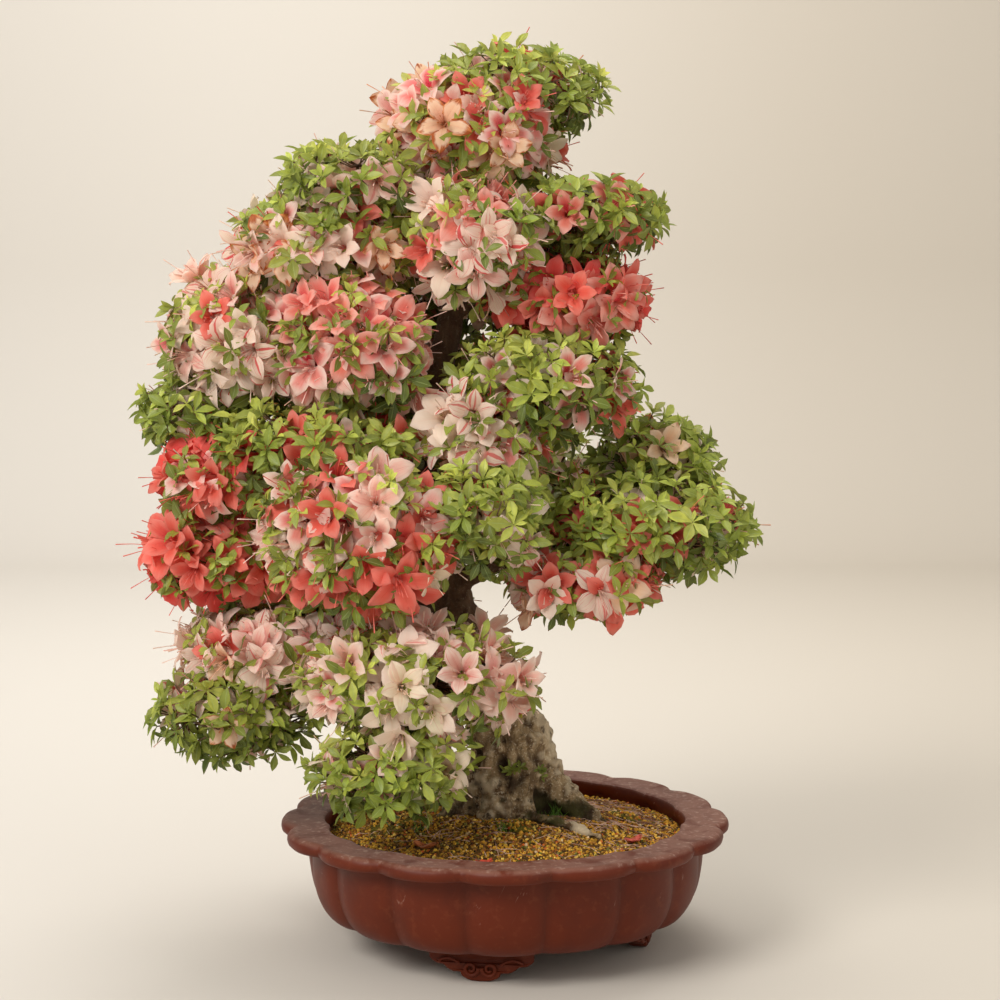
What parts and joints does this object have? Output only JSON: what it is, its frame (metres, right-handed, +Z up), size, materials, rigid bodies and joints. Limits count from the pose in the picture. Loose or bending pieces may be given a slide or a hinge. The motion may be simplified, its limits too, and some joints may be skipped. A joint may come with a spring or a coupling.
{
  "type": "flowering azalea bonsai in a round lobed stoneware pot",
  "caption": "Azalea bonsai in full bloom: a tapered trunk with spreading roots carries stepped pads of blossom and leaves above a lobed stoneware bowl on scroll feet",
  "frame": {"origin": "middle of the bottom of the whole model's box: the soles of the pot's feet stand on z = 0, and the pot's axis stands 55.2 mm towards +X because the crown leans towards -X", "axes": "+Z up along the pot's axis; the front of the tree, with the low spray of blossom, faces -Y; the long right-hand branch points along +X"},
  "size_m": [0.5566, 0.421, 0.8328],
  "materials": {
    "stoneware": "matte",
    "net_plastic": "matte",
    "wire": "satin",
    "soil": "matte",
    "moss": "matte",
    "bark": "matte",
    "leaf": "satin",
    "blossom": "matte",
    "wilted_petal": "matte"
  },
  "bodies": {
    "root": {"blossoms_apex": "blossom", "blossoms_back_low": "blossom", "blossoms_back_mid": "blossom", "blossoms_center_front": "blossom", "blossoms_center_right": "blossom", "blossoms_left": "blossom", "blossoms_left_center": "blossom", "blossoms_left_front": "blossom", "blossoms_lower_front": "blossom", "blossoms_lower_left": "blossom", "blossoms_mid_left": "blossom", "blossoms_right": "blossom", "blossoms_upper_front": "blossom", "blossoms_upper_left": "blossom", "blossoms_upper_right": "blossom", "drainage_net": "net_plastic", "fallen_petal_back": "wilted_petal", "fallen_petal_front": "wilted_petal", "fallen_petal_front_left": "wilted_petal", "fallen_petal_right": "wilted_petal", "leaves_apex": "leaf", "leaves_back_high": "leaf", "leaves_back_low": "leaf", "leaves_center_front": "leaf", "leaves_center_right": "leaf", "leaves_left": "leaf", "leaves_left_center": "leaf", "leaves_lower_front": "leaf", "leaves_lower_left": "leaf", "leaves_mid_left": "leaf", "leaves_right": "leaf", "leaves_right_riser": "leaf", "leaves_upper_left": "leaf", "leaves_upper_right": "leaf", "moss_back": "moss", "moss_front": "moss", "moss_left": "moss", "moss_right": "moss", "net_clip": "wire", "pot": "stoneware", "soil_bed": "soil", "tie_wire_1": "wire", "tie_wire_2": "wire", "trunk_and_limbs": "bark"}
  },
  "joints": []
}
